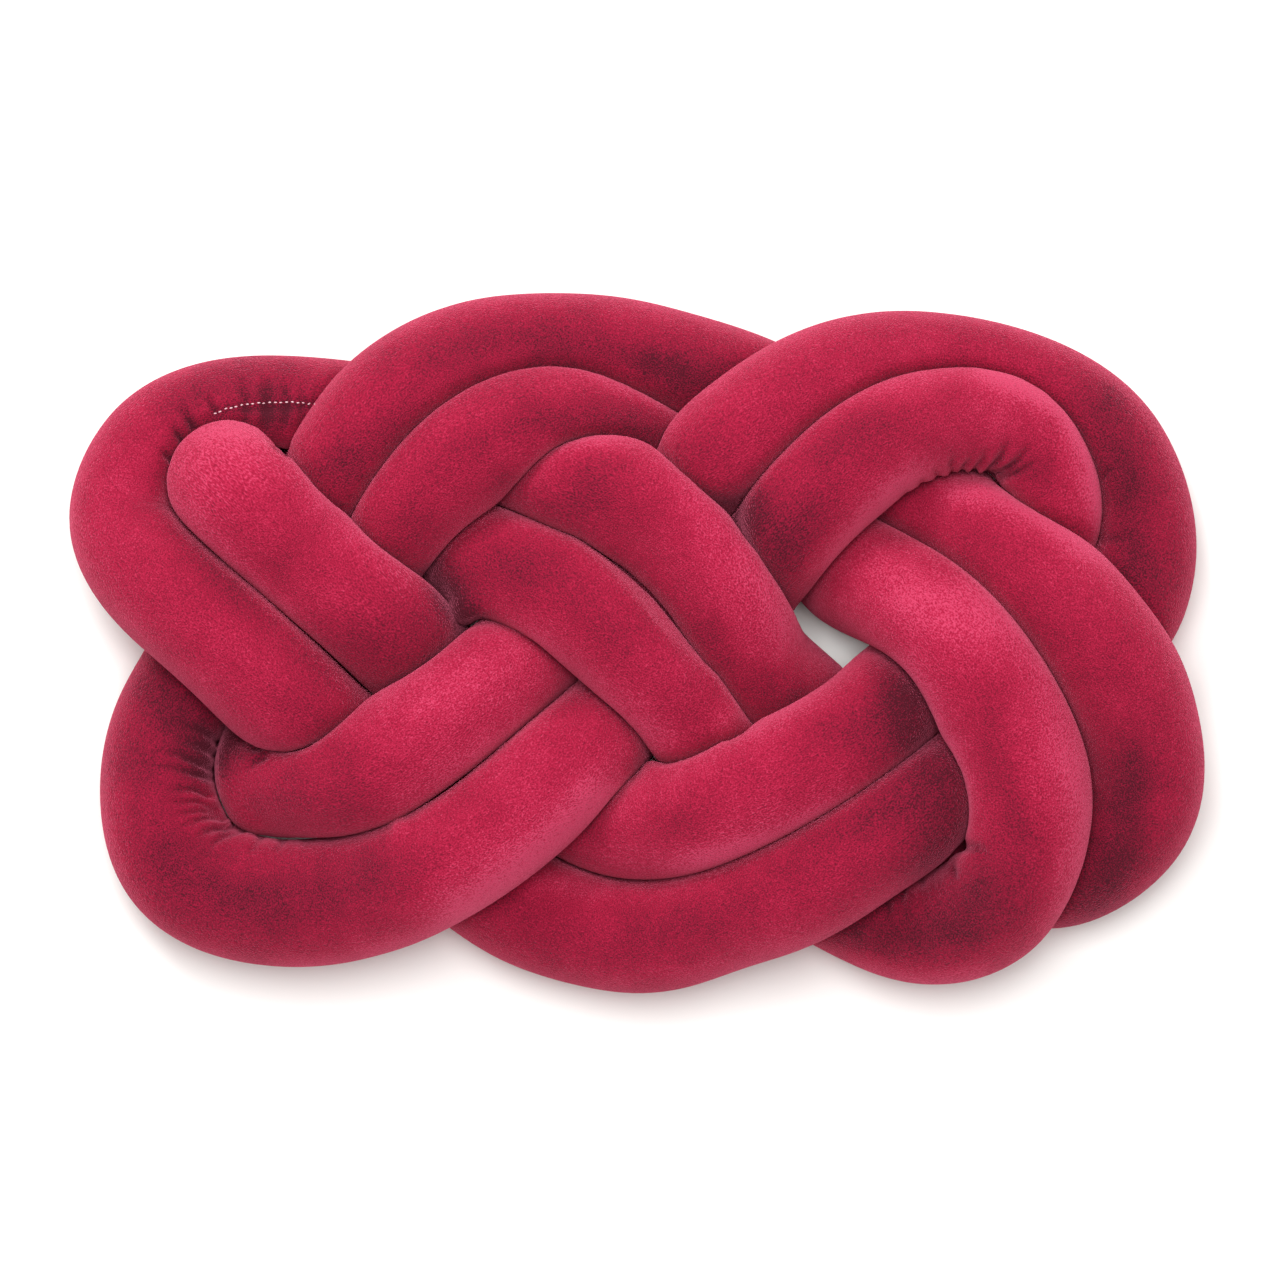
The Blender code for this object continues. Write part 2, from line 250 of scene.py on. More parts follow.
CREASES = (
    # The left end, round the doubled-back sleeve: short gathers on the inside of the bend,
    # and soft folds that hang from the closing seam.
    *creases_of(
        Stretch.LEFT_OUTER, Fold.GATHER,
        (2.2, 3.3, (-241, 132), (-246, 142)), (2.6, 3.6, (-253, 122), (-261, 137)),
        (2.4, 3.0, (-259, 114), (-268, 127)), (2.2, 2.4, (-265, 103), (-274, 112)),
    ),
    *creases_of(
        Stretch.LEFT_OUTER, Fold.DENT,
        (3.6, 2.2, (-227, 152), (-223, 134), (-225, 118)),
        (4.2, 2.5, (-213, 152), (-211, 137), (-214, 118)),
        (3.4, 2.1, (-201, 151), (-200, 136), (-202, 118)), (3.0, 1.8, (-191, 150), (-191, 120)),
        (3.4, 2.2, (-248, 126), (-232, 134), (-172, 136)),
    ),
    # The doubled-back sleeve, where it squeezes out beside the top outer stretch.
    *creases_of(
        Stretch.LEFT_INNER, Fold.GATHER,
        (2.2, 3.0, (-202, 110), (-211, 118), (-216, 122)),
        (2.0, 2.7, (-199, 107), (-204, 112), (-211, 114)),
    ),
    # The foot's outer loop: fine gathers all round the inside of its bend.
    *creases_of(
        Stretch.FOOT_OUTER, Fold.GATHER,
        (2.4, 2.7, (-237, -59), (-247, -51), (-267, -43)),
        (2.0, 2.2, (-239, -66), (-249, -60), (-263, -54)),
        (2.4, 2.7, (-243, -73), (-261, -64), (-278, -62)),
        (2.2, 2.4, (-243, -78), (-267, -71), (-283, -70)),
        (2.4, 3.0, (-244, -88), (-252, -84), (-271, -84)),
        (2.2, 2.8, (-240, -95), (-249, -91), (-273, -91)),
        (2.2, 2.8, (-238, -98), (-249, -96), (-266, -99)),
        (2.0, 2.7, (-235, -101), (-245, -100), (-263, -105)),
        (2.0, 2.7, (-229, -105), (-241, -106), (-254, -112)),
        (2.0, 2.4, (-225, -107), (-235, -110), (-245, -117)),
        (2.2, 2.2, (-213, -109), (-218, -115), (-223, -122)),
        (2.2, 2.2, (-201, -110), (-204, -116), (-207, -122)),
        (2.0, 2.0, (-188, -110), (-189, -117)), (2.0, 1.8, (-175, -108), (-174, -115)),
    ),
    *creases_of(
        Stretch.FOOT_OUTER, Fold.DENT,
        (4.5, -2.4, (-139, -98), (-133, -113)),
    ),
    # The foot's inner loop, where it tucks in beside the left outer stretch.
    *creases_of(
        Stretch.FOOT_INNER, Fold.GATHER,
        (2.4, 2.7, (-213, -65), (-220, -69), (-225, -75)), (2.2, 1.8, (-216, -61), (-225, -60)),
    ),
    # The right loop: a fan of gathers from the inside of its bend.
    *creases_of(
        Stretch.RIGHT_LOOP, Fold.GATHER,
        (2.0, 3.0, (181, 95), (180, 101), (182, 108)),
        (2.2, 3.3, (185, 94), (188, 100), (193, 107)),
        (2.4, 3.6, (192, 95), (198, 103), (200, 112)),
        (2.6, 3.9, (199, 94), (207, 103), (212, 112), (213, 118)),
        (2.4, 3.9, (204, 94), (214, 100), (221, 107), (227, 116)),
        (2.2, 3.3, (207, 92), (218, 97), (231, 105)), (2.0, 2.4, (173, 93), (171, 98), (171, 102)),
        (2.0, 2.2, (164, 88), (162, 94)), (2.0, 1.8, (155, 81), (152, 87)),
    ),
    # The right inner stretch: the tucked corner on the inside of its bend, and folds below it.
    *creases_of(
        Stretch.RIGHT_INNER, Fold.GATHER,
        (4.2, 3.6, (186, -117), (194, -118), (203, -122)), (2.4, 2.7, (180, -129), (182, -137)),
        (2.4, 2.4, (161, -131), (164, -142)), (2.2, 2.1, (153, -140), (151, -151)),
        (2.6, 2.1, (144, -148), (143, -160)),
    ),
    # The right end, and the inner stretch along the front.
    *creases_of(
        Stretch.RIGHT_OUTER, Fold.DENT,
        (2.6, 1.5, (265, 92), (272, 101)), (3.0, 1.2, (261, 59), (283, 60)),
    ),
    *creases_of(
        Stretch.BOTTOM_INNER, Fold.GATHER,
        (3.0, 2.4, (53, -56), (62, -48), (73, -46)),
    ),
    # Where the filling swells into a gap between stretches, or gives beside a neighbour.
    *creases_of(
        Stretch.MIDDLE_INNER, Fold.SWELL,
        (9.0, -8.0, (-106, 24), (-92, 12)), (9.0, 5.4, (-30, 64), (4, 36), (22, 12), (46, -18)),
    ),
    *creases_of(
        Stretch.MIDDLE_OUTER, Fold.SWELL,
        (9.0, -5.4, (-30, 64), (4, 36), (22, 12), (46, -18)),
        (8.0, 3.6, (36, 96), (56, 78), (70, 54)),
    ),
    *creases_of(
        Stretch.FOOT_INNER, Fold.SWELL,
        (5.0, -2.2, (-236, -98), (-212, -109)),
    ),
    *creases_of(
        Stretch.BOTTOM_INNER, Fold.SWELL,
        (5.0, -3.0, (2, -72), (14, -66)),
    ),
)

SEAM_PATH = (
    (-241, 131), (-236, 133), (-230, 134.6), (-223, 136), (-215, 136.8), (-204, 137.3),
    (-192, 137), (-184, 136),
)


class NapAndPaintedLightPatch(NamedTuple):
    """A soft patch that darkens or pales the pile, for its nap and as painted shade beside higher
    stretches and painted highlight on rims: a strength of 1 is pale, and -1 is dark. Its path is
    as the camera sees it, as a crease's is."""

    stretch: Stretch
    strength: float
    reach: float
    path: list[tuple[float, float]]


def patches_of(stretch: Stretch, *rows: tuple) -> list[NapAndPaintedLightPatch]:
    """Names the columns of one table of patches: strength, reach, and the points of the path."""
    return [NapAndPaintedLightPatch(stretch, strength, reach, path) for strength, reach, *path in rows]


# Patches of nap, of painted shade beside higher stretches and of painted highlight on rims.
NAP_AND_PAINTED_LIGHT_PATCHES = (
    *patches_of(
        Stretch.LEFT_OUTER,
        (-0.3, 14, (-262, 138), (-225, 148)), (-0.25, 9, (-245, 162), (-175, 163)),
        (-0.3, 11, (-212, 138), (-202, 126)), (-0.15, 20, (-245, 32)), (-0.4, 20, (-192, -36)),
        (0.25, 16, (-305, 95), (-290, 95)), (0.4, 7, (-190, 126), (-198, 114)),
        (-0.5, 6, (-207, 128)), (-0.35, 14, (-202, 146)),
        (-0.35, 9, (-262, 66), (-238, 38), (-200, 2), (-165, -24)),
    ),
    *patches_of(
        Stretch.LEFT_INNER,
        (0.45, 20, (-250, 98), (-226, 108)), (0.5, 12, (-182, 92), (-132, 40)),
        (0.35, 8, (-248, 118), (-215, 124)), (-0.9, 8, (-112, 33), (-98, 12)),
        (-0.2, 22, (-205, 55)), (-0.6, 20, (-155, -6), (-122, 4)), (0.2, 12, (-158, 22)),
        (0.4, 9, (-258, 75), (-228, 42), (-198, 14)), (-0.8, 8, (-112, 32), (-98, 10)),
        (0.3, 8, (-175, 92), (-130, 50)),
    ),
    *patches_of(
        Stretch.TOP_OUTER,
        (-0.35, 14, (-90, 176), (-40, 172), (5, 162)), (-0.4, 19, (-138, 158), (-98, 165)),
        (-0.35, 14, (-170, 103)), (-0.75, 16, (10, 152), (28, 153)),
        (0.35, 7, (-25, 158), (10, 147)), (-0.5, 17, (-165, 98), (-140, 120)),
    ),
    *patches_of(
        Stretch.TOP_INNER,
        (-0.4, 13, (-105, 108), (-60, 130), (-5, 127)), (-0.3, 12, (2, 124)),
        (-0.5, 16, (-128, 62)), (-0.25, 10, (-105, 142), (-62, 152)),
        (-0.8, 11, (-114, 38), (-98, 10)), (-0.7, 10, (-76, 90)), (0.45, 7, (-30, 155), (18, 139)),
        (0.4, 7, (8, 145), (24, 137)),
    ),
    *patches_of(
        Stretch.MIDDLE_OUTER,
        (-0.6, 18, (-50, 82), (-28, 98)), (0.55, 16, (25, 102), (58, 60), (90, 8)),
        (-0.35, 10, (42, 5), (64, -28), (86, -24)), (-0.3, 9, (-32, 66), (8, 36), (40, 2)),
        (0.85, 8, (-62, 93), (-42, 114), (-15, 119)), (0.25, 18, (40, 42), (66, 5)),
        (-0.3, 12, (-12, 76)),
    ),
    *patches_of(
        Stretch.MIDDLE_INNER,
        (-1.0, 13, (-114, 36), (-100, 10)), (0.4, 8, (-102, 54), (-85, 68), (-50, 66)),
        (-0.35, 18, (-90, 45), (-40, 35), (-12, 5)), (0.45, 13, (-70, 8), (-40, -12), (12, -54)),
        (0.9, 8, (50, -48), (66, -38)), (-0.3, 10, (-84, 58)),
        (-1.5, 8, (-109, 24), (-101, 16), (-92, 10)),
    ),
    *patches_of(
        Stretch.FOOT_OUTER,
        (-0.65, 20, (-276, -25), (-250, -52)), (-0.9, 9, (-243, -62), (-244, -74)),
        (-0.9, 9, (-38, -30)), (-0.8, 8, (-1, -70)), (-0.35, 20, (-288, -72), (-268, -108)),
        (-0.5, 20, (-262, -138), (-210, -148), (-150, -134)),
        (0.7, 15, (-18, -86), (-50, -115), (-105, -155)), (0.2, 28, (-52, -78)),
        (-0.3, 12, (-125, -126)), (0.3, 15, (-275, -88), (-252, -94)),
        (0.35, 8, (-195, -187), (-110, -170)), (0.35, 12, (-22, -92)),
    ),
    *patches_of(
        Stretch.FOOT_INNER,
        (0.35, 24, (-130, -28), (-85, -22)), (0.25, 12, (-218, -66), (-190, -66)),
        (-0.35, 12, (-212, -94), (-160, -96)), (-0.7, 10, (-232, -56), (-222, -62)),
        (0.3, 12, (-72, 5), (-40, -20)), (0.45, 9, (-130, -90), (-60, -44)),
        (-1.0, 9, (-238, -52), (-240, -68)), (-0.3, 15, (-195, -74), (-165, -66)),
    ),
    *patches_of(
        Stretch.BOTTOM_OUTER,
        (0.35, 9, (-45, -138), (0, -143), (30, -137)), (0.5, 14, (-55, -136)),
        (-0.2, 15, (0, -168), (35, -165)), (0.3, 9, (-25, -142)),
        (-0.3, 15, (40, -155), (100, -120), (140, -95)),
        (-1.1, 17, (166, -66), (172, -84), (180, -108), (172, -126)), (-0.4, 18, (148, -98)),
        (0.2, 14, (-92, -165)), (0.3, 9, (-20, -194), (60, -186), (95, -172)),
    ),
    *patches_of(
        Stretch.BOTTOM_INNER,
        (0.35, 15, (0, -82), (35, -72), (70, -45), (105, -22)), (0.25, 15, (60, -105), (85, -102)),
        (0.3, 9, (-40, -116), (0, -127), (60, -116)), (-0.3, 12, (25, -104)),
        (-0.5, 16, (108, -52), (150, -42)), (-0.75, 12, (141, -12), (152, -32)),
        (-1.0, 15, (160, -58), (168, -66)), (0.6, 8, (40, -53), (65, -41), (90, -28)),
        (0.35, 13, (-10, -98)), (0.35, 8, (144, -40)), (-0.5, 9, (154, -28), (165, -52)),
        (-0.6, 7, (4, -71)), (0.55, 8, (30, -128), (80, -113), (120, -90)), (-0.8, 8, (-35, -122)),
    ),
    *patches_of(
        Stretch.RIGHT_OUTER,
        (-0.4, 14, (32, 105), (45, 115)), (-0.15, 14, (85, 135)), (-0.6, 14, (56, 84)),
        (-0.35, 14, (106, 164)), (0.3, 9, (275, 126)), (-0.3, 10, (288, 46)),
        (-0.55, 15, (268, 132), (281, 95), (285, 60), (292, 42)),
        (0.15, 16, (110, 174), (165, 170)),
    ),
    *patches_of(
        Stretch.RIGHT_LOOP,
        (-0.9, 16, (64, 74), (86, 44)), (-0.55, 17, (102, 72)), (-0.65, 9, (60, 80), (66, 68)),
        (-0.5, 8, (100, 28)), (-0.45, 17, (105, 108), (130, 122)), (0.25, 16, (208, 128)),
        (-0.35, 13, (228, 98)), (0.35, 11, (105, 135), (180, 156), (235, 140), (260, 90)),
        (0.9, 9, (205, 158), (248, 136), (266, 104), (265, 72)), (0.5, 7, (254, 128), (267, 96)),
        (0.75, 12, (106, 45), (132, 72), (160, 95)),
    ),
    *patches_of(
        Stretch.RIGHT_INNER,
        (0.6, 26, (128, 45), (160, 25), (195, 15)),
        (0.45, 13, (205, 30), (238, -20), (256, -90), (248, -150)),
        (0.2, 9, (160, -12), (186, -60), (196, -105)),
        (-0.4, 16, (210, -80), (222, -125), (214, -155)), (0.2, 18, (222, -30), (235, -80)),
        (-0.7, 18, (194, -140), (188, -160)), (0.45, 7, (150, -14), (170, -44), (186, -84)),
        (-0.25, 10, (206, -28), (204, -70)), (-0.6, 16, (165, -166), (130, -170)),
        (0.5, 8, (125, -184), (160, -194), (195, -190)),
    ),
    *patches_of(
        Stretch.FAR_RIGHT,
        (1.0, 12, (182, 88), (205, 87), (240, 74), (262, 57)), (0.25, 15, (245, 28)),
        (-0.2, 15, (230, 12), (262, -15)), (-0.8, 18, (282, -75), (281, -110), (258, -156)),
    ),
)


def linear(colour: str) -> tuple[float, float, float, float]:
    """Turns an sRGB hex colour into a linear one.

    Args:
        colour: six hex digits, with or without a leading #.

    Returns:
        Red, green, blue and an alpha of 1.
    """
    digits = colour.lstrip("#")
    shares = [int(digits[i:i + 2], 16) / 255 for i in (0, 2, 4)]
    red, green, blue = (
        s / 12.92 if s <= 0.04045 else ((s + 0.055) / 1.055) ** 2.4 for s in shares
    )
    return red, green, blue, 1.0


def add_node(
    tree: bpy.types.NodeTree,
    kind: str,
    settings: dict[str, object] | None = None,
    values: dict[int | str, object] | None = None,
    links: dict[int | str, bpy.types.NodeSocket] | None = None,
) -> bpy.types.Node:
    """Adds one node to a material.

    Args:
        tree: the material's nodes.
        kind: the node's type, such as ShaderNodeBump.
        settings: the node's own properties.
        values: what its unlinked inputs hold, by name or number.
        links: the outputs that feed its other inputs.

    Returns:
        The node.
    """
    made = tree.nodes.new(kind)
    for name, setting in (settings or {}).items():
        setattr(made, name, setting)
    for name, value in (values or {}).items():
        made.inputs[name].default_value = value
    for name, source in (links or {}).items():
        tree.links.new(source, made.inputs[name])
    return made


def set_ramp(ramp: bpy.types.Node, stops: tuple[tuple[float, str], ...]) -> None:
    """Gives a Color Ramp node its stops.

    Args:
        ramp: the node, as it is made, with two stops.
        stops: place and sRGB colour of each stop, from left to right.
    """
    elements = ramp.color_ramp.elements
    while len(elements) < len(stops):
        elements.new(1.0)
    for element, (place, colour) in zip(elements, stops):
        element.position = place
        element.color = linear(colour)


def principled(
    name: str, values: dict[str, object]
) -> tuple[bpy.types.Material, bpy.types.NodeTree, bpy.types.Node]:
    """Makes a material around one Principled shader.

    Args:
        name: what it is called.
        values: what the shader's sockets hold.

    Returns:
        The material, its nodes and the shader.
    """
    made = bpy.data.materials.new(name)
    made.use_nodes = True
    shader = made.node_tree.nodes["Principled BSDF"]
    for socket, value in values.items():
        shader.inputs[socket].default_value = value
    return made, made.node_tree, shader


@dataclass(frozen=True)
class Plush:
    """Short-pile polyester plush, weft-knitted, sheared and brushed. The pile stands about 2 mm
    high, so it scatters light softly, shines pale pink where it is seen along the pile, and
    turns darker or lighter in patches where a hand has brushed it another way. Its colour also
    holds painted shade and painted highlight, read from the sleeve's attributes."""

    name: str = "raspberry_plush"
    pile_tones_and_painted_light: tuple[tuple[float, str], ...] = (
        (0.0, "#46081A"),       # painted shade, deep between two stretches
        (0.22, "#700A27"),      # brushed towards the eye, and painted shade
        (0.5, "#910D30"),       # as it settles
        (0.75, "#A71C3F"),
        (1.0, "#C03A5C"),       # brushed away from it, and painted highlight
    )
    patch_size: float = 55.0
    patch_share: float = 0.35
    smudge_size: float = 16.0
    smudge_share: float = 0.25
    grain_size: float = 0.8     # the pile's tufts are under 1 mm: drawn coarser, so that they show
    grain_share: float = 0.9
    grain_height: float = 0.8
    unevenness_size: float = 12.0
    unevenness_height: float = 0.5
    speckle_roughness: float = 0.55
    speckle_warp: float = 0.3
    sheen_weight: float = 0.6
    sheen_roughness: float = 0.38
    sheen_tint: str = "#F27494"
    roughness: float = 0.92
    gloss: float = 0.2

    def speckle(
        self, tree: bpy.types.NodeTree, place: bpy.types.NodeSocket, size: float, detail: float
    ) -> bpy.types.NodeSocket:
        """Adds a soft noise along the sleeve.

        Args:
            tree: the material's nodes.
            place: where on the sleeve a point lies.
            size: of the noise's largest spots, in mm.
            detail: how much finer noise it holds.

        Returns:
            The noise, from 0 to 1.
        """
        return add_node(
            tree,
            "ShaderNodeTexNoise",
            values={
                "Scale": 1 / (size * MM),
                "Detail": detail,
                "Roughness": self.speckle_roughness,
                "Distortion": self.speckle_warp,
            },
            links={"Vector": place},
        ).outputs["Fac"]

    def material(self) -> bpy.types.Material:
        """Makes the plush as a material.

        Returns:
            The material, which reads the sleeve's own attributes.
        """
        made, tree, shader = principled(self.name, {
            "Roughness": self.roughness,
            "Specular IOR Level": self.gloss,
            "Sheen Weight": self.sheen_weight,
            "Sheen Roughness": self.sheen_roughness,
            "Sheen Tint": linear(self.sheen_tint),
        })
        place = add_node(
            tree, "ShaderNodeAttribute", {"attribute_name": "sleeve", "attribute_type": "GEOMETRY"}
        ).outputs["Vector"]
        # The pile's nap with its painted light and shade, which the ramp turns into colour.
        pile_lay_and_painted_light = add_node(
            tree, "ShaderNodeAttribute", {"attribute_name": "pile_lay_and_painted_light", "attribute_type": "GEOMETRY"}
        ).outputs["Fac"]
        grain = self.speckle(tree, place, self.grain_size, 0.0)
        noises = (
            (self.patch_share, self.speckle(tree, place, self.patch_size, 2.0)),
            (self.smudge_share, self.speckle(tree, place, self.smudge_size, 2.0)),
            (self.grain_share, grain),
        )
        middle = 0.5 - sum(share for share, _ in noises) / 2
        total = add_node(
            tree, "ShaderNodeMath", {"operation": "MULTIPLY_ADD"}, {1: 0.5, 2: middle}, {0: pile_lay_and_painted_light}
        ).outputs[0]
        for share, noise in noises:
            total = add_node(
                tree,
                "ShaderNodeMath",
                {"operation": "MULTIPLY_ADD"},
                values={1: share},
                links={0: noise, 2: total},
            ).outputs[0]
        ramp = add_node(tree, "ShaderNodeValToRGB", links={"Fac": total})
        set_ramp(ramp, self.pile_tones_and_painted_light)
        tree.links.new(ramp.outputs["Color"], shader.inputs["Base Color"])
        soft = add_node(
            tree,
            "ShaderNodeBump",
            values={"Strength": 1.0, "Distance": self.unevenness_height * MM},
            links={"Height": self.speckle(tree, place, self.unevenness_size, 2.0)},
        ).outputs["Normal"]
        tufts = add_node(
            tree,
            "ShaderNodeBump",
            values={"Strength": 1.0, "Distance": self.grain_height * MM},
            links={"Height": grain, "Normal": soft},
        ).outputs["Normal"]
        tree.links.new(tufts, shader.inputs["Normal"])
        return made


@dataclass(frozen=True)
class Thread:
    """Pale polyester sewing thread, twisted and slightly lustrous."""

    name: str = "pale_sewing_thread"
    colour: str = "#E9C9CE"
    shaded: str = "#C98F9B"
    twist: float = 0.5
    roughness: float = 0.55

    def material(self) -> bpy.types.Material:
        """Makes the thread as a material.

        Returns:
            The material, which reads Object coordinates.
        """
        made, tree, shader = principled(self.name, {"Roughness": self.roughness})
        place = add_node(tree, "ShaderNodeTexCoord").outputs["Object"]
        strands = add_node(
            tree,
            "ShaderNodeTexNoise",
            values={"Scale": 1 / (self.twist * MM), "Detail": 1.0},
            links={"Vector": place},
        ).outputs["Fac"]
        ramp = add_node(tree, "ShaderNodeValToRGB", links={"Fac": strands})
        set_ramp(ramp, ((0.35, self.shaded), (0.6, self.colour)))
        tree.links.new(ramp.outputs["Color"], shader.inputs["Base Color"])
        return made


@dataclass(frozen=True)
class PaleFloor:
    """A seamless matt paper floor, near white, with no grain that shows at this distance."""

    name: str = "pale_paper_floor"
    colour: str = "#FBFBF8"
    roughness: float = 0.9

    def material(self) -> bpy.types.Material:
        """Makes the paper as a material."""
        values = {"Base Color": linear(self.colour), "Roughness": self.roughness}
        return principled(self.name, values | {"Specular IOR Level": 0.0})[0]


def strides(line: np.ndarray) -> np.ndarray:
    """Measures from each row of a closed line to the next."""
    return np.linalg.norm(np.roll(line[:, :3], -1, 0) - line[:, :3], axis=1)


def added_up(steps: np.ndarray) -> np.ndarray:
    """Adds up steps, from 0 before the first."""
    return np.concatenate([[0.0], np.cumsum(steps)])


def closed_spline(knots: np.ndarray, count: int) -> tuple[np.ndarray, np.ndarray]:
    """Draws a smooth closed curve through every row of knots.

    Args:
        knots: rows of x, y, z and radius.
        count: how many rows the curve is cut into.

    Returns:
        The curve's rows, and for each the number of the knot that it comes after, with the share
        of the way to the next one as its fraction.
    """
    lengths = strides(knots)
    starts = added_up(lengths)[:-1]
    size = len(knots)
    matrix = np.zeros((size, size))
    pull = np.zeros_like(knots)
    for i in range(size):
        before, after = lengths[i - 1], lengths[i]
        matrix[i, i - 1] += before
        matrix[i, i] += 2 * (before + after)
        matrix[i, (i + 1) % size] += after
        rise = (knots[(i + 1) % size] - knots[i]) / after
        pull[i] = 6 * (rise - (knots[i] - knots[i - 1]) / before)
    bend = np.linalg.solve(matrix, pull)
    at = np.linspace(0.0, lengths.sum(), count, endpoint=False)
    i = np.searchsorted(starts, at, side="right") - 1
    j = (i + 1) % size
    span = lengths[i][:, None]
    back = (at - starts[i])[:, None]
    ahead = span - back
    curve = (bend[i] * ahead ** 3 + bend[j] * back ** 3) / (6 * span)
    curve += (knots[i] / span - bend[i] * span / 6) * ahead
    curve += (knots[j] / span - bend[j] * span / 6) * back
    return curve, i + (back / span)[:, 0]


def spaced(line: np.ndarray, places: np.ndarray) -> tuple[np.ndarray, np.ndarray, float]:
    """Reads a closed line at some shares of its length.

    Args:
        line: rows that start with x, y and z.
        places: shares of the length, from 0 to 1.

    Returns:
        The rows there, their distances along the line, and the line's length.
    """
    along = added_up(strides(line))
    looped = np.vstack([line, line[:1]])
    at = places * along[-1]
    rows = [np.interp(at, along, looped[:, k]) for k in range(line.shape[1])]
    return np.column_stack(rows), at, float(along[-1])


def directions(line: np.ndarray) -> tuple[np.ndarray, np.ndarray]:
    """Finds which way a closed line runs and how it bends.

    Args:
        line: rows of x, y and z.

    Returns:
        The unit tangent at each row, and the bend in 1/mm, which points to its inside.
    """
    ahead = np.roll(line, -1, 0) - line
    step = np.linalg.norm(ahead, axis=1)[:, None]
    ahead = ahead / step
    behind = np.roll(ahead, 1, 0)
    tangent = ahead + behind
    tangent = tangent / np.linalg.norm(tangent, axis=1)[:, None]
    return tangent, (ahead - behind) * 2 / (step + np.roll(step, 1, 0))


def sections(line: np.ndarray) -> tuple[np.ndarray, np.ndarray]:
    """Finds two unit vectors square to the line at each row, turned as little as can be.

    Args:
        line: rows of x, y and z.

    Returns:
        The two vectors at each row.
    """
    tangent, _ = directions(line)
    side = np.zeros_like(line)
    side[0] = np.cross(tangent[0], (0.0, 0.0, 1.0))
    side[0] /= np.linalg.norm(side[0])
    for i in range(1, len(line)):
        turned = side[i - 1] - tangent[i] * np.dot(side[i - 1], tangent[i])
        side[i] = turned / np.linalg.norm(turned)
    up = np.cross(side, tangent)
    last = side[-1] - tangent[0] * np.dot(side[-1], tangent[0])
    twist = np.arctan2(np.dot(last, up[0]), np.dot(last, side[0]))
    share = (-twist * np.arange(len(line)) / len(line))[:, None]
    return side * np.cos(share) + up * np.sin(share), up * np.cos(share) - side * np.sin(share)


def as_seen(skin: np.ndarray) -> np.ndarray:
    """Finds where the camera sees points, in mm at the height where the photograph's scale is
    true.

    Args:
        skin: the points, by section and by place round it.

    Returns:
        The x and y of each.
    """
    return skin[:, :, :2] * ((EYE_HEIGHT - TRUE_LEVEL) / (EYE_HEIGHT - skin[:, :, 2:3]))


def reach_to(distance: np.ndarray | float, facing: np.ndarray) -> np.ndarray:
    """Finds how far off a wall is in directions that face it by some share, from 0 to 1."""
    return np.where(
        facing > LEAST_FACING, distance / np.maximum(facing, LEAST_FACING), NOTHING_NEAR
    )


def smoothed(grid: np.ndarray, times: int) -> np.ndarray:
    """Softens numbers along the sleeve, which closes on itself.

    Args:
        grid: the numbers, by section.
        times: how often.

    Returns:
        The softer numbers.
    """
    for _ in range(times):
        grid = (np.roll(grid, 1, 0) + 2 * grid + np.roll(grid, -1, 0)) / 4
    return grid


def beside_path(points: np.ndarray, path: np.ndarray) -> tuple[np.ndarray, np.ndarray]:
    """Measures points against a path of straight runs.

    Args:
        points: rows of x and y.
        path: rows of x and y, in order.

    Returns:
        Each point's distance from the path, and how far along the path it lies, from 0 to 1.
    """
    path = np.vstack([path, path[-1] + 0.01])
    runs = np.diff(path, axis=0)
    lengths = np.linalg.norm(runs, axis=1)
    starts = added_up(lengths)
    nearest = np.full(len(points), 1e6)
    along = np.zeros(len(points))
    for start, run, length, before in zip(path, runs, lengths, starts):
        share = np.clip((points - start) @ run / length ** 2, 0.0, 1.0)
        far = np.linalg.norm(points - start - share[:, None] * run, axis=1)
        closer = far < nearest
        nearest = np.where(closer, far, nearest)
        along = np.where(closer, before + share * length, along)
    return nearest, along / starts[-1]


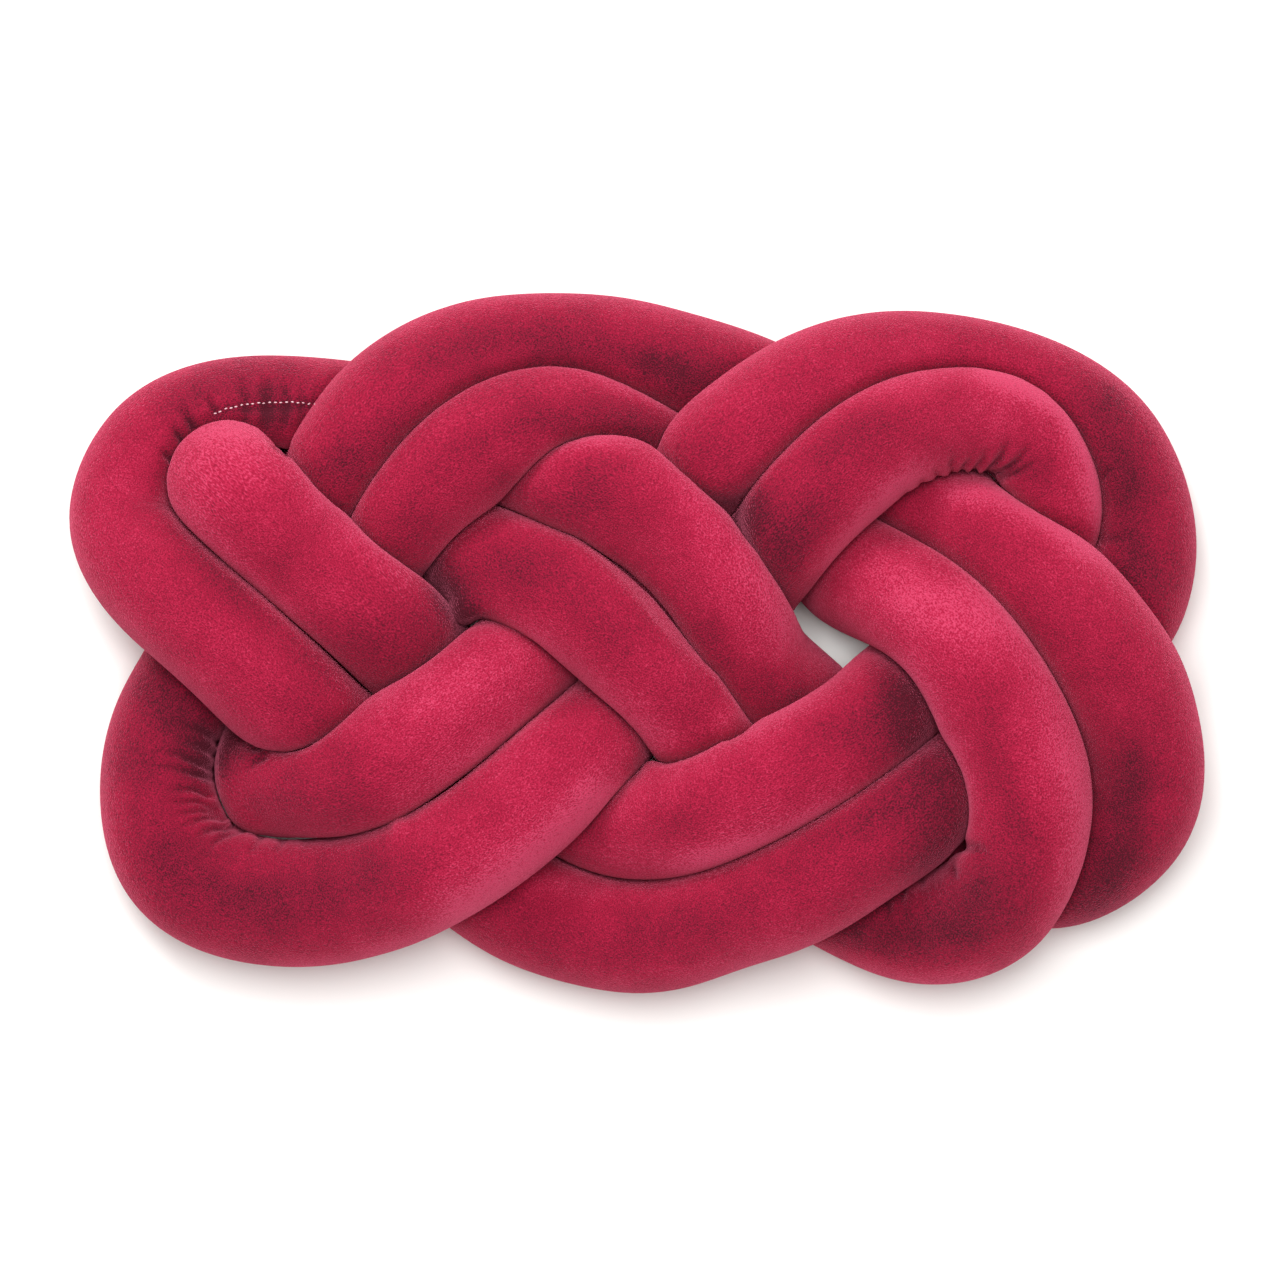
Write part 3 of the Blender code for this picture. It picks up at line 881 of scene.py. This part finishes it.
@dataclass
class MiddleLine:
    """The sleeve's middle line, cut into sections that stand closer in bends and creases."""

    rings: int = 1480
    least_height: float = 28.0      # over the table, where the sleeve is pressed flattest
    bend_weight: float = 34.0       # draws sections together in the bends
    crease_weight: float = 2.4      # and beside creases
    crease_reach: float = 20.0
    hidden_share: float = 0.45      # of the sections that an open stretch gets, under another
    fine: int = 6000                # rows of the smooth line
    coarse: int = 1500              # and of the one on which the crowding is worked out
    blend: int = 31                 # coarse rows over which it changes
    rows: np.ndarray = field(init=False)
    at: np.ndarray = field(init=False)
    knot: np.ndarray = field(init=False)
    length: float = field(init=False)

    def __post_init__(self) -> None:
        """Draws the line and cuts it."""
        stops = [stop for table in ROUTE.values() for stop in table]
        knots = np.array([stop[1:] for stop in stops], float)
        smooth, number = closed_spline(knots, self.fine)
        smooth[:, 2] = np.maximum(smooth[:, 2], self.least_height)
        even, _, _ = spaced(smooth, np.linspace(0.0, 1.0, self.coarse, endpoint=False))
        _, bend = directions(even[:, :3])
        crowding = 1.0 + self.bend_weight * np.linalg.norm(bend, axis=1)
        crowding += self.crease_weight * self.near_creases(even[:, :2])
        under = np.array([stop.place.startswith("under") for stop in stops], float)
        nearest = np.rint(number[::self.fine // self.coarse]).astype(int) % len(stops)
        crowding *= 1.0 - (1.0 - self.hidden_share) * under[nearest]
        window = np.ones(self.blend) / self.blend
        crowding = np.convolve(np.tile(crowding, 3), window, "same")[self.coarse:2 * self.coarse]
        total = added_up(crowding)
        shares = np.arange(self.rings) / self.rings
        places = np.interp(shares, total / total[-1], np.linspace(0.0, 1.0, self.coarse + 1))
        self.rows, self.at, self.length = spaced(smooth, places)
        self.knot = np.interp(self.at, added_up(strides(smooth)), np.append(number, len(knots)))

    def near_creases(self, plan: np.ndarray) -> np.ndarray:
        """Finds which points of the line lie beside a crease.

        Args:
            plan: rows of x and y.

        Returns:
            1 beside a crease and 0 elsewhere.
        """
        near = np.zeros(len(plan))
        for crease in CREASES:
            if crease.fold is Fold.SWELL:
                continue
            away, _ = beside_path(plan, np.array(crease.path, float))
            near[away < self.crease_reach] = 1.0
        return near

    def stretch(self, name: Stretch) -> np.ndarray:
        """Picks the sections that belong to one stretch.

        Args:
            name: the stretch.

        Returns:
            True for each of its sections.
        """
        first = sum(len(table) for key, table in ROUTE.items() if key.value < name.value)
        return (self.knot >= first - 0.5) & (self.knot < first + len(ROUTE[name]) - 0.5)


@dataclass
class KnotTube:
    """The stuffed sleeve: one closed tube, about 5.8 m long, pressed against itself."""

    line: MiddleLine
    finish: Plush = field(default_factory=Plush)
    sides: int = 66
    upper_share: float = 0.4        # draws the skin's points together on its upper side
    cloth_gap: float = 0.3          # left between two stretches that press on each other
    flatten: float = 0.4            # the table presses the lowest of the skin flat over this height
    own_reach: float = 14.0         # of its own line beside a section that isn't in its way
    far_reach: float = 110.0        # beyond which no other stretch is either
    wall_step: float = 2.0          # between the places where other stretches are looked for
    swelling: int = 8               # rounds in which the sleeve is blown up
    least_swell: float = 0.95
    most_swell: float = 1.05        # how far a pressed sleeve swells where it is free
    fill_reach: float = 7.5         # a gap beside a neighbour fills, less so when wider than this
    fill_below: float = 14.0        # and this much wider on the sleeve's lower side
    soft_edge: float = 1.6          # over which the cloth bends where a wall starts to stop it
    bend_reach: float = 9.0         # how far the cloth's own stiffness carries round the sleeve
    bend_along: float = 6.0         # and along it
    settling: int = 160             # steps in which the cloth settles
    pinch: float = 0.82             # share of a bend's radius that the inside of the bend may take
    middle: tuple[float, float] = (-0.21, -0.20)
    lump_size: float = 85.0         # of the soft lumps in the stuffing
    lump_height: float = 0.9
    lump_peak: float = 1.5          # how many times the lumps' spread that is
    lump_waves: int = 28            # that add up to them
    lump_range: tuple[float, float] = (0.8, 2.4)    # of their sizes, as shares of lump_size
    pucker_spacing: float = 8.5     # of the gathers on the inside of every tight bend
    pucker_range: tuple[float, float] = (0.6, 1.5)      # between two, as shares of that
    pucker_width: tuple[float, float] = (0.20, 0.34)    # of one, as shares of it too
    pucker_lean: float = 3.0
    pucker_depth: float = 1.3
    pucker_share: tuple[float, float] = (0.35, 1.0)     # of that depth, in one gather
    pucker_end: float = 30.0        # no gather reaches farther along the sleeve
    pucker_from: float = 0.42       # share of its bend's radius at which a sleeve starts to pucker
    painted_line_shade: float = 0.3         # painted shade: how much darker the pile is drawn where two stretches close on each other, fading over this distance between them and painted shade on the lower of the two
    line_reach: float = 0.8         # on each other, fading over this distance between them
    painted_band_shade: float = 0.35        # and on the lower of the two
    band_reach: float = 6.0
    shade_rise: float = 35.0        # a stretch this much higher casts the most painted shade
    painted_crease_shade: float = 0.20      # painted shade in a crease, for each mm that it is deep
    crease_end: float = 4.0         # widths from its path, beyond which a crease doesn't reach
    upper_from: float = 6.0         # how far below its middle line the upper side starts
    painted_flank_highlight: float = 0.5          # painted highlight: how much paler the pile is drawn on a flank
    painted_height_light: float = 0.1         # painted light: how much paler the sleeve is drawn where it lies high, darker where low
    middling: float = 58.0          # the height over the table where it is neither
    painted_light_rise: float = 25.0         # and how far above or below it the most shows
    seed: int = 7

    def turns(self) -> np.ndarray:
        """Spaces the skin's points round each section, closer on its upper side.

        Returns:
            Angles from the section's first direction, by section and by place round it.
        """
        side, up = sections(self.line.rows[:, :3])
        turn = 2 * math.pi * np.arange(self.sides) / self.sides
        top = smoothed(np.column_stack([side[:, 2], up[:, 2]]), times=12)
        top = np.arctan2(top[:, 1], top[:, 0])
        return turn[None, :] - self.upper_share * np.sin(turn[None, :] - top[:, None])

    def outward(self) -> np.ndarray:
        """Finds the directions from the middle line to each point of the skin.

        Returns:
            Unit vectors, by section and by place round it.
        """
        side, up = sections(self.line.rows[:, :3])
        turn = self.turns()[:, :, None]
        return side[:, None] * np.cos(turn) + up[:, None] * np.sin(turn)

    def room(self, out: np.ndarray) -> tuple[np.ndarray, np.ndarray, np.ndarray]:
        """Finds how far the sleeve can reach: halfway to any other stretch, and less than the
        bend's own radius on its inside.

        Args:
            out: the directions from the middle line.

        Returns:
            The farthest reach in each direction, how far the table is, and how much higher than
            this stretch the one in the way lies, in mm.
        """
        rows = self.line.rows[:, :3]
        _, bend = directions(rows)
        places = np.arange(0.0, 1.0, self.wall_step / self.line.length)
        others, other_at, _ = spaced(rows, places)
        limit = np.full(out.shape[:2], NOTHING_NEAR)
        over = np.zeros(out.shape[:2])
        for i, here in enumerate(rows):
            away = others - here
            far = np.linalg.norm(away, axis=1)
            apart = np.abs(other_at - self.line.at[i])
            apart = np.minimum(apart, self.line.length - apart)
            near = (apart > self.own_reach) & (far < self.far_reach)
            away, far = away[near], far[near]
            half = far * (far - self.cloth_gap) / 2
            walls = reach_to(half, out[i] @ away.T)
            limit[i] = walls.min(axis=1)
            over[i] = away[walls.argmin(axis=1), 2]
        inside = reach_to(self.pinch, np.einsum("nmk,nk->nm", out, bend))
        floor = rows[:, 2:3] / np.maximum(-out[:, :, 2], LEAST_FACING)
        walls = 1.0 / smoothed(1.0 / np.minimum(limit, inside), times=5)
        return walls, floor, over

    def girth(self, out: np.ndarray, reach: np.ndarray) -> np.ndarray:
        """Measures round each section, in mm."""
        skin = self.line.rows[:, None, :3] + out * reach[:, :, None]
        return np.linalg.norm(np.roll(skin, -1, 1) - skin, axis=2).sum(axis=1)

    def settled(self, wanted: np.ndarray, limit: np.ndarray) -> np.ndarray:
        """Lets the cloth settle: as near as it can be to the wanted reach, with an even bend
        round the sleeve and along it, and flat where a wall stops it.

        Args:
            wanted: the reach that the filling pushes to in each direction.
            limit: the farthest reach in each direction.

        Returns:
            The reach in each direction, in mm.
        """
        step = 2 * math.pi * self.line.rows[:, 3:4] / self.sides
        round_it = (self.bend_reach / step) ** 2
        stride = self.line.length / self.line.rings
        along_it = (self.bend_along / stride) ** 2
        reach = np.minimum(wanted, limit)
        for _ in range(self.settling):
            beside = np.roll(reach, 1, 1) + np.roll(reach, -1, 1)
            before = np.roll(reach, 1, 0) + np.roll(reach, -1, 0)
            reach = (round_it * beside + along_it * before + wanted) / (
                2 * round_it + 2 * along_it + 1
            )
            reach = np.minimum(reach, limit)
        return reach

    def lumps(self) -> np.ndarray:
        """Makes the soft unevenness of the stuffing.

        Returns:
            How far each point of the skin stands out, in mm.
        """
        draw = np.random.default_rng(self.seed)
        turn = self.turns()
        total = np.zeros(turn.shape)
        for _ in range(self.lump_waves):
            waves = round(self.line.length / (self.lump_size * draw.uniform(*self.lump_range)))
            around = draw.integers(-2, 3)
            phase = draw.uniform(0.0, 2 * math.pi)
            angle = 2 * math.pi * waves * self.line.at / self.line.length
            total += np.cos(angle[:, None] + around * turn + phase)
        return total * self.lump_height / math.sqrt(self.lump_waves / 2) / self.lump_peak

    def pressed(self, out: np.ndarray) -> tuple[np.ndarray, np.ndarray, np.ndarray]:
        """Blows the sleeve up until its cloth is taut or something stops it.

        Args:
            out: the directions from the middle line.

        Returns:
            The reach from the middle line in each direction, how far it stays from what is in
            its way, and how far over it that lies, in mm.
        """
        radius = self.line.rows[:, 3:4]
        walls, floor, over = self.room(out)
        limit = np.minimum(walls, floor)
        sleeve = self.girth(out, np.broadcast_to(radius, limit.shape))
        swell = np.ones(self.line.rings)
        for _ in range(self.swelling):
            reach = np.minimum(radius * swell[:, None], limit)
            swell = swell * sleeve / self.girth(out, reach)
            swell = smoothed(np.clip(swell, self.least_swell, self.most_swell), times=6)
        free = radius * swell[:, None] + self.lumps()
        gap = np.maximum(walls - free, 0.0)
        below = np.clip(0.1 - 1.5 * out[:, :, 2], 0.0, 1.0)
        wanted = free + gap * np.exp(-((gap / (self.fill_reach + self.fill_below * below)) ** 2))
        edge = np.clip(1.0 - np.abs(wanted - walls) / self.soft_edge, 0.0, 1.0)
        reach = self.settled(wanted, limit) - self.soft_edge * edge ** 2 / 4
        return reach, np.maximum(walls - reach, 0.0), over

    def puckers(self, out: np.ndarray) -> np.ndarray:
        """Makes the gathers on the inside of the tight bends, unevenly spaced.

        Args:
            out: the directions from the middle line.

        Returns:
            How deep the skin is drawn in, in mm.
        """
        draw = np.random.default_rng(self.seed + 1)
        _, bend = directions(self.line.rows[:, :3])
        sharp = smoothed(np.linalg.norm(bend, axis=1) * self.line.rows[:, 3], times=8)
        inside = np.einsum("nmk,nk->nm", out, bend)
        inside /= np.maximum(np.linalg.norm(bend, axis=1), 1e-6)[:, None]
        turn = self.turns()
        wave = np.zeros(turn.shape)
        place = 0.0
        while place < self.line.length:
            width = self.pucker_spacing * draw.uniform(*self.pucker_width)
            lean = draw.uniform(-self.pucker_lean, self.pucker_lean)
            depth = draw.uniform(*self.pucker_share)
            near = np.abs(self.line.at - place) < self.pucker_end
            shifted = self.line.at[near, None] - place - lean * np.sin(turn[near] * 2 + place)
            wave[near] += depth * np.exp(-((shifted / width) ** 2))
            place += self.pucker_spacing * draw.uniform(*self.pucker_range)
        strength = np.clip((sharp - self.pucker_from) / 0.25, 0.0, 1.0)
        around = np.clip((inside - 0.1) / 0.9, 0.0, 1.0) ** 1.5
        return self.pucker_depth * strength[:, None] * around * wave

    def creases(self, skin: np.ndarray, folds: tuple[Fold, ...]) -> np.ndarray:
        """Makes the listed creases, on the side of the sleeve that is up.

        Args:
            skin: the skin's points.
            folds: the kinds of crease to make.

        Returns:
            How deep the skin is drawn in, in mm.
        """
        deep = np.zeros(skin.shape[:2])
        seen = as_seen(skin)
        upper = skin[:, :, 2] > self.line.rows[:, 2:3] - self.upper_from
        for crease in CREASES:
            if crease.fold not in folds:
                continue
            path = np.array(crease.path, float)
            low = path.min(axis=0) - self.crease_end * crease.width
            high = path.max(axis=0) + self.crease_end * crease.width
            close = upper & self.line.stretch(crease.stretch)[:, None]
            close &= ((seen > low) & (seen < high)).all(axis=2)
            away, along = beside_path(seen[close], path)
            across = (away / crease.width) ** 2
            if crease.fold is Fold.GATHER:
                taper = np.clip((1.0 - along) * 1.6, 0.0, 1.0)
            else:
                taper = np.sin(math.pi * np.clip(along, 0.0, 1.0)) ** 0.7
            deep[close] += crease.depth * taper * (1.0 - 0.45 * across) * np.exp(-across)
        return deep

    def shaded(self, gap: np.ndarray, over: np.ndarray) -> np.ndarray:
        """Finds the painted shade where two stretches close on each other: a thin dark line on
        both, and a wide soft band on the one that lies lower.

        Args:
            gap: how far each point of the skin stays from what is in its way.
            over: how much higher than this stretch that lies.

        Returns:
            How much painted shade darkens the pile at each point.
        """
        lower = smoothed(np.clip(0.4 + over / self.shade_rise, 0.0, 1.0), times=12)
        # Painted shade: a thin dark line on both stretches, and a wide band on the lower one.
        line = self.painted_line_shade * np.exp(-gap / self.line_reach)
        band = self.painted_band_shade * np.exp(-gap / self.band_reach) * lower
        return line + band

    def nap_and_painted_light(self, skin: np.ndarray, steep: np.ndarray, deep: np.ndarray) -> np.ndarray:
        """Finds the pile's nap with painted light and shade: the listed patches, a painted highlight
        on the flanks, painted light and shade by height, and painted shade in the creases.

        Args:
            skin: the skin's points.
            steep: how far up each one faces, from -1 to 1.
            deep: how deep it is drawn in.

        Returns:
            From -1, dark, to 1, pale, at each point.
        """
        pile_lay_and_painted_light = np.zeros(skin.shape[:2])
        seen = as_seen(skin)
        # Patches of nap, and of painted shade and painted highlight.
        for patch in NAP_AND_PAINTED_LIGHT_PATCHES:
            rings = np.flatnonzero(self.line.stretch(patch.stretch))
            away, _ = beside_path(seen[rings].reshape(-1, 2), np.array(patch.path, float))
            away = away.reshape(len(rings), -1)
            pile_lay_and_painted_light[rings] += patch.strength * np.exp(-((away / patch.reach) ** 2))
        # Painted highlight: the pile drawn paler on the flanks.
        pile_lay_and_painted_light += self.painted_flank_highlight * np.clip(1.0 - steep, 0.0, 1.0) ** 1.5
        # Painted light where the sleeve lies high, and painted shade where it lies low.
        rise = (self.line.rows[:, 2] - self.middling) / self.painted_light_rise
        pile_lay_and_painted_light += self.painted_height_light * smoothed(np.clip(rise, -1.0, 1.0), times=60)[:, None]
        # Painted shade in the creases, for each mm that they are deep.
        return smoothed(pile_lay_and_painted_light, times=6) - self.painted_crease_shade * deep

    def skin(self) -> tuple[np.ndarray, np.ndarray]:
        """Draws the finished skin.

        Returns:
            Its points in mm, by section and by place round it, and the pile's nap there, with its
            painted light and shade.
        """
        out = self.outward()
        reach, gap, over = self.pressed(out)
        skin = self.line.rows[:, None, :3] + out * reach[:, :, None]
        skin[:, :, :2] -= self.middle
        ahead = np.roll(skin, -1, 0) - np.roll(skin, 1, 0)
        round_it = np.roll(skin, -1, 1) - np.roll(skin, 1, 1)
        normal = np.cross(ahead, round_it)
        normal /= np.maximum(np.linalg.norm(normal, axis=2), 1e-6)[:, :, None]
        normal *= np.sign(np.einsum("nmk,nmk->nm", normal, out))[:, :, None]
        deep = self.puckers(out) + self.creases(skin, (Fold.GATHER, Fold.DENT))
        # The pile's nap, painted highlight, and painted shade in creases and between stretches.
        pile_lay_and_painted_light = self.nap_and_painted_light(skin, normal[:, :, 2], deep) - self.shaded(gap, over)
        deep += self.creases(skin, (Fold.SWELL,))
        skin -= normal * deep[:, :, None]
        skin[:, :, 2] = np.where(skin[:, :, 2] < self.flatten, 0.0, skin[:, :, 2])
        return skin, pile_lay_and_painted_light

    def build(self) -> bpy.types.Object:
        """Builds the sleeve. The pattern of its pile closes on itself in the middle, underneath.

        Returns:
            The sleeve as a mesh object, with the place along it and the pile's nap, with its painted
            light and shade, as attributes.
        """
        skin, pile_lay_and_painted_light = self.skin()
        rings, sides, _ = skin.shape
        i, j = np.meshgrid(np.arange(rings), np.arange(sides), indexing="ij")
        ahead, beside = (i + 1) % rings, (j + 1) % sides
        faces = np.stack(
            [i * sides + j, ahead * sides + j, ahead * sides + beside, i * sides + beside], axis=2
        )
        mesh = bpy.data.meshes.new("sleeve")
        mesh.from_pydata((skin.reshape(-1, 3) * MM).tolist(), [], faces.reshape(-1, 4).tolist())
        mesh.polygons.foreach_set("use_smooth", [True] * len(mesh.polygons))
        turn = self.turns()
        rows = self.line.rows
        radius = float(rows[:, 3].mean())
        place = np.empty((rings, sides, 3))
        join = np.argmin(np.linalg.norm(rows[:, :3], axis=1))
        along = (self.line.at - self.line.at[join]) % self.line.length
        place[:, :, 0] = along[:, None]
        place[:, :, 1] = radius * np.cos(turn)
        place[:, :, 2] = radius * np.sin(turn)
        sleeve = mesh.attributes.new("sleeve", "FLOAT_VECTOR", "POINT")
        sleeve.data.foreach_set("vector", (place * MM).ravel())
        shade = mesh.attributes.new("pile_lay_and_painted_light", "FLOAT", "POINT")
        shade.data.foreach_set("value", pile_lay_and_painted_light.ravel())
        mesh.update()
        tube = bpy.data.objects.new("sleeve", mesh)
        bpy.context.collection.objects.link(tube)
        return tube

    def dress(self, tube: bpy.types.Object) -> None:
        """Gives the sleeve its plush and its place in the frame.

        Args:
            tube: the sleeve.
        """
        tube.data.materials.append(self.finish.material())
        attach(tube, "root")
        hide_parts("knot_tube")
        LOG.info("%s: %d faces, %.2f m long", tube.name, len(tube.data.polygons),
                 self.line.length * MM)


@dataclass
class ClosingSeam:
    """The hand-sewn seam that closes the sleeve: a row of short stitches in pale thread."""

    sleeve: bpy.types.Object
    finish: Thread = field(default_factory=Thread)
    spacing: float = 3.2
    uneven_along: float = 0.35      # how far a stitch strays from its place along the seam
    uneven_across: float = 0.3
    length: float = 1.9
    thickness: float = 0.95
    sunk: float = 0.15              # how far it is drawn into the pile
    seed: int = 3

    def places(self) -> list[tuple[Vector, Vector, Vector]]:
        """Finds where the stitches lie on the sleeve.

        Returns:
            For each stitch its middle, the way it runs and the way that it faces.
        """
        path = np.array(SEAM_PATH, float)
        along = added_up(np.linalg.norm(np.diff(path, axis=0), axis=1))
        draw = np.random.default_rng(self.seed)
        wanted = np.arange(0.0, along[-1], self.spacing)
        count = len(wanted)
        wanted = wanted + draw.uniform(-self.uneven_along, self.uneven_along, count)
        x = np.interp(wanted, along, path[:, 0])
        y = np.interp(wanted, along, path[:, 1])
        y = y + draw.uniform(-self.uneven_across, self.uneven_across, count)
        eye = Vector((0.0, 0.0, EYE_HEIGHT * MM))
        found = []
        for k in range(count):
            target = Vector((x[k] * MM, y[k] * MM, TRUE_LEVEL * MM))
            hit, point, normal, _ = self.sleeve.ray_cast(eye, (target - eye).normalized())
            if hit:
                found.append((point, normal))
        placed = []
        for k, (point, normal) in enumerate(found):
            before = found[max(k - 1, 0)][0]
            after = found[min(k + 1, len(found) - 1)][0]
            run = (after - before) - normal * (after - before).dot(normal)
            placed.append((point, run.normalized(), normal))
        return placed

    def stitch(self) -> bpy.types.Object:
        """Models one stitch, long in x, at the origin.

        Returns:
            The stitch.
        """
        bpy.ops.object.select_all(action="DESELECT")
        bpy.ops.mesh.primitive_uv_sphere_add(segments=10, ring_count=6, radius=0.5)
        made = bpy.context.object
        bpy.ops.object.mode_set(mode="EDIT")
        bpy.ops.mesh.select_all(action="SELECT")
        bpy.ops.transform.rotate(value=math.pi / 2, orient_axis="Y", center_override=(0, 0, 0))
        sizes = (self.length * MM, self.thickness * MM, self.thickness * MM)
        bpy.ops.transform.resize(value=sizes, center_override=(0, 0, 0))
        bpy.ops.object.mode_set(mode="OBJECT")
        bpy.ops.object.shade_smooth()
        return made

    def build(self) -> bpy.types.Object:
        """Lays the stitches along the seam.

        Returns:
            All the stitches as one piece.
        """
        first = self.stitch()
        placed = self.places()
        stitches = [first]
        for _ in placed[1:]:
            copy = first.copy()
            copy.data = first.data.copy()
            bpy.context.collection.objects.link(copy)
            stitches.append(copy)
        for stitch, (point, run, normal) in zip(stitches, placed):
            across = normal.cross(run)
            rest = point - normal * self.sunk * MM
            turned = Matrix((run, across, normal)).transposed().to_4x4()
            stitch.matrix_world = Matrix.Translation(rest) @ turned
        bpy.ops.object.select_all(action="DESELECT")
        for stitch in stitches:
            stitch.select_set(True)
        bpy.context.view_layer.objects.active = first
        bpy.ops.object.transform_apply(location=True, rotation=True, scale=True)
        bpy.ops.object.join()
        first.name = "closing_stitches"
        return first

    def dress(self, stitches: bpy.types.Object) -> None:
        """Gives the stitches their thread and their place in the frame.

        Args:
            stitches: the row of stitches.
        """
        stitches.data.materials.append(self.finish.material())
        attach(stitches, "root")
        LOG.info("%s: %d faces", stitches.name, len(stitches.data.polygons))


@dataclass
class Studio:
    """The pale floor, the soft lights and the camera straight above."""

    floor: PaleFloor = field(default_factory=PaleFloor)
    floor_side: float = 12.0
    floor_level: float = -0.0005    # so that it and the flat underside don't share a plane
    key_place: tuple[float, float, float] = (-1.0, 2.2, 2.2)
    key_size: tuple[float, float] = (1.4, 1.0)
    key_power: float = 52.0
    top_place: tuple[float, float, float] = (0.0, 0.5, 3.1)
    top_side: float = 1.4
    top_power: float = 78.0
    around: float = 0.55
    around_colour: str = "#FFFFFF"

    def lay_floor(self) -> bpy.types.Object:
        """Lays the floor under the cushion.

        Returns:
            The floor.
        """
        bpy.ops.object.select_all(action="DESELECT")
        bpy.ops.mesh.primitive_plane_add(size=self.floor_side, location=(0.0, 0.0, self.floor_level))
        floor = bpy.context.object
        floor.name = "pale_floor"
        floor.data.materials.append(self.floor.material())
        return floor

    def hang_light(
        self, name: str, place: tuple[float, float, float], size: tuple[float, float], power: float
    ) -> bpy.types.Object:
        """Hangs one softbox that faces the cushion.

        Args:
            name: what it is called.
            place: where it hangs, in metres.
            size: its width and height, in metres.
            power: in watts.

        Returns:
            The light.
        """
        data = bpy.data.lights.new(name, "AREA")
        data.shape = "RECTANGLE"
        data.size, data.size_y = size
        data.energy = power
        light = bpy.data.objects.new(name, data)
        light.location = place
        light.rotation_euler = (-Vector(place)).to_track_quat("-Z", "Y").to_euler()
        bpy.context.collection.objects.link(light)
        return light

    def light(self) -> None:
        """Sets the soft light: a key from the picture's top, one from above, and all round."""
        self.hang_light("key_softbox", self.key_place, self.key_size, self.key_power)
        self.hang_light("top_softbox", self.top_place, (self.top_side, self.top_side),
                        self.top_power)
        world = bpy.data.worlds.new("soft_surround")
        bpy.context.scene.world = world
        world.use_nodes = True
        background = world.node_tree.nodes["Background"]
        background.inputs["Color"].default_value = linear(self.around_colour)
        background.inputs["Strength"].default_value = self.around
        bpy.context.scene.view_settings.view_transform = "Standard"

    def set_camera(self) -> bpy.types.Object:
        """Sets the camera straight above, with the photograph's frame.

        Returns:
            The camera.
        """
        data = bpy.data.cameras.new("overhead_camera")
        data.angle = 2 * math.atan(IMAGE_SIDE / 2 / (EYE_HEIGHT - TRUE_LEVEL))
        data.clip_end = 50.0
        camera = bpy.data.objects.new("overhead_camera", data)
        camera.location = (IMAGE_MIDDLE[0] * MM, IMAGE_MIDDLE[1] * MM, EYE_HEIGHT * MM)
        bpy.context.collection.objects.link(camera)
        bpy.context.scene.camera = camera
        return camera


def main() -> None:
    """Builds the studio and the cushion, piece by piece."""
    logging.basicConfig(level=logging.INFO, format="%(name)s: %(message)s")
    studio = Studio()
    studio.lay_floor()
    studio.light()
    studio.set_camera()
    tube = KnotTube(MiddleLine())
    sleeve = tube.build()
    tube.dress(sleeve)
    seam = ClosingSeam(sleeve)
    stitches = seam.build()
    seam.dress(stitches)


if __name__ == "__main__":
    main()
